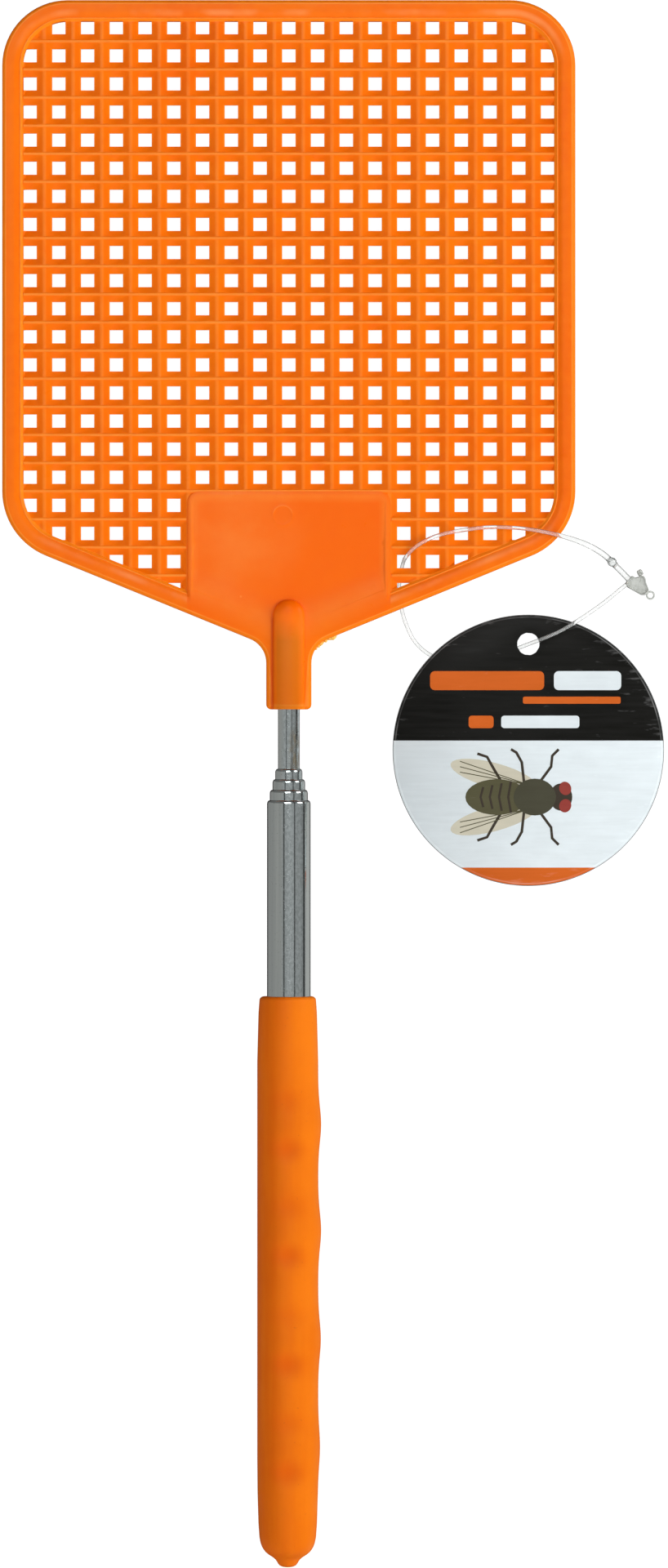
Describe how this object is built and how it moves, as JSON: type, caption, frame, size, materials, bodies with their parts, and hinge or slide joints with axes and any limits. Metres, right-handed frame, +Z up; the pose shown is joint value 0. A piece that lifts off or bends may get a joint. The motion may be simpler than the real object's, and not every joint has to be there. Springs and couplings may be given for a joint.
{
  "type": "fly swatter",
  "caption": "Telescopic fly swatter: a moulded square-hole grid head on nested steel tubes with a soft finger-bump grip and a round hang tag on a clear loop.",
  "frame": {"origin": "centre of the closed swatter's bounding box, at the bottom: on the surface that it lies on, under the rod's axis", "axes": "+Y along the rod towards the head, +Z up out of the head's face, +X to the right seen from above"},
  "size_m": [0.1217, 0.2876, 0.0112],
  "materials": {
    "head_plastic": "glossy, slightly translucent orange moulding",
    "tube_steel": "bright drawn stainless steel",
    "plug_brass": "turned",
    "ring_bronze": "rolled spring strip",
    "butt_plastic": "matte",
    "grip_soft": "soft satin orange",
    "tag_card": "printed card under gloss film",
    "loop_nylon": "clear nylon"
  },
  "bodies": {
    "head": {"grid_head": "head_plastic", "tube_4mm": "tube_steel", "end_plug_4mm": "plug_brass", "friction_ring_4mm": "ring_bronze"},
    "section_5mm": {"tube_5mm": "tube_steel", "end_plug_5mm": "plug_brass", "friction_ring_5mm": "ring_bronze"},
    "section_6mm": {"tube_6mm": "tube_steel", "end_plug_6mm": "plug_brass", "friction_ring_6mm": "ring_bronze"},
    "section_7mm": {"tube_7mm": "tube_steel", "end_plug_7mm": "plug_brass"},
    "ring_7mm": {"friction_ring_7mm": "ring_bronze"},
    "handle": {"tube_8mm": "tube_steel", "butt_plug": "butt_plastic", "grip": "grip_soft"},
    "loop": {"tag_loop": "loop_nylon", "loop_bead": "loop_nylon", "loop_lock": "loop_nylon"},
    "tag": {"hang_tag": "tag_card"}
  },
  "joints": [
    {"name": "slide_4mm", "type": "slide", "parent": "head", "child": "section_5mm", "axis": [0, -1, 0], "range_m": [0, 0.1005]},
    {"name": "slide_5mm", "type": "slide", "parent": "section_5mm", "child": "section_6mm", "axis": [0, -1, 0], "range_m": [0, 0.108]},
    {"name": "slide_6mm", "type": "slide", "parent": "section_6mm", "child": "section_7mm", "axis": [0, -1, 0], "range_m": [0, 0.1155]},
    {"name": "rod_turn", "type": "hinge", "parent": "section_7mm", "child": "ring_7mm", "pos_m": [0, 0, 0.0056], "axis": [0, 1, 0], "continuous": true},
    {"name": "slide_7mm", "type": "slide", "parent": "ring_7mm", "child": "handle", "axis": [0, -1, 0], "range_m": [0, 0.1225]},
    {"name": "tag_swing", "type": "hinge", "parent": "head", "child": "loop", "pos_m": [0.02115, 0.04085, 0.0056], "axis": [0, 0, 1], "range_deg": [-40, 8]},
    {"name": "tag_turn", "type": "hinge", "parent": "loop", "child": "tag", "pos_m": [0.0441, 0.0258, 0.0011], "axis": [0, -0.0244, 0.9997], "range_deg": [-30, 25]}
  ]
}
